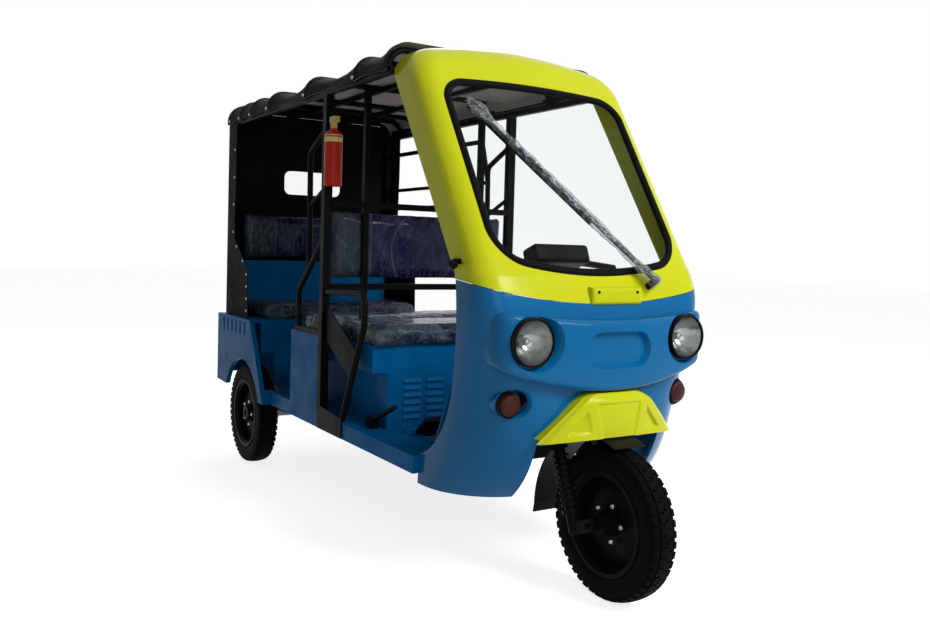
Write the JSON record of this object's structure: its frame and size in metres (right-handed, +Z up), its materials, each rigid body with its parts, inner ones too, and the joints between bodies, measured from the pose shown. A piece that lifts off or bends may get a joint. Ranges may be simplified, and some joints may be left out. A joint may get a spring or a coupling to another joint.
{
  "type": "auto rickshaw",
  "caption": "Open electric auto rickshaw with a moulded cab, canvas roof, facing passenger benches, one steered front wheel and two driven rear wheels.",
  "frame": {"origin": "on the floor under the middle of the bounding box", "axes": "+Z up, the vehicle faces -Y, its right side is -X"},
  "size_m": [1, 2.7899, 1.7999],
  "materials": {
    "lime_gelcoat": "glossy lime yellow moulded panel",
    "blue_gelcoat": "glossy blue moulded panel",
    "blue_steel": "glossy blue paint",
    "black_steel": "satin black paint",
    "canvas": "matte black coated canvas",
    "vinyl_navy": "navy vinyl under clear film",
    "vinyl_grey": "grey blue vinyl under clear film",
    "rubber": "matte black rubber",
    "tyre": "matte black tyre rubber",
    "screen_glass": "lightly tinted clear glass",
    "lamp_glass": "clear lamp glass",
    "clear_film": "clear flexible window film",
    "chrome": "polished reflector",
    "black_plastic": "black plastic",
    "amber": "amber lamp lens",
    "red_lens": "red lamp lens",
    "red_paint": "glossy red paint",
    "cast": "grey painted casting",
    "spring_steel": "dark spring steel",
    "battery_case": "battery cases"
  },
  "bodies": {
    "chassis": {"cab_lower": "blue_gelcoat", "cab_upper": "lime_gelcoat", "mirror_sockets": "black_steel", "windscreen_seal": "rubber", "windscreen": "screen_glass", "front_visor": "lime_gelcoat", "headlamp_rims": "black_plastic", "headlamp_lenses": "lamp_glass", "headlamp_reflectors": "chrome", "turn_signals": "amber", "wiper_motor_cover": "lime_gelcoat", "wiper": "black_plastic", "chassis_frame": "black_steel", "floor_pan": "blue_steel", "sills": "blue_steel", "side_frame_right": "black_steel", "side_frame_left": "black_steel", "roof_rails": "black_steel", "roof_bows": "black_steel", "roof_canopy": "canvas", "rear_curtain": "canvas", "rear_window": "clear_film", "front_seat_box": "blue_steel", "battery_pack": "battery_case", "driver_seat_cushion": "vinyl_navy", "middle_seat_cushion": "vinyl_grey", "driver_backrest": "vinyl_navy", "middle_backrest": "vinyl_grey", "seat_back_frame": "black_steel", "rear_seat_box": "blue_steel", "rear_seat_cushion": "vinyl_grey", "rear_backrest": "vinyl_navy", "side_panels": "blue_steel", "rear_fenders": "blue_steel", "rear_panel": "blue_steel", "tail_lamps": "red_lens", "fire_extinguisher": "red_paint", "rear_axle": "cast", "drive_motor": "cast", "leaf_springs": "spring_steel", "driver_controls": "black_steel"},
    "steering": {"front_fork": "black_steel", "front_mudguard": "black_plastic", "handlebar": "black_steel", "instrument_pod": "black_plastic"},
    "front_wheel": {"front_tyre": "tyre", "front_rim": "black_steel"},
    "rear_wheel_right": {"rear_tyre_right": "tyre", "rear_rim_right": "black_steel"},
    "rear_wheel_left": {"rear_tyre_left": "tyre", "rear_rim_left": "black_steel"}
  },
  "joints": [
    {"name": "steering", "type": "hinge", "parent": "chassis", "child": "steering", "pos_m": [0, -1.08002, 0.24], "axis": [0, 0.3584, 0.9336], "range_deg": [-40, 40]},
    {"name": "front_wheel_spin", "type": "hinge", "parent": "steering", "child": "front_wheel", "pos_m": [0, -1.155, 0.24], "axis": [1, 0, 0], "continuous": true},
    {"name": "rear_wheel_right_spin", "type": "hinge", "parent": "chassis", "child": "rear_wheel_right", "pos_m": [-0.435, 0.995, 0.24], "axis": [1, 0, 0], "continuous": true},
    {"name": "rear_wheel_left_spin", "type": "hinge", "parent": "chassis", "child": "rear_wheel_left", "pos_m": [0.435, 0.995, 0.24], "axis": [1, 0, 0], "continuous": true}
  ]
}
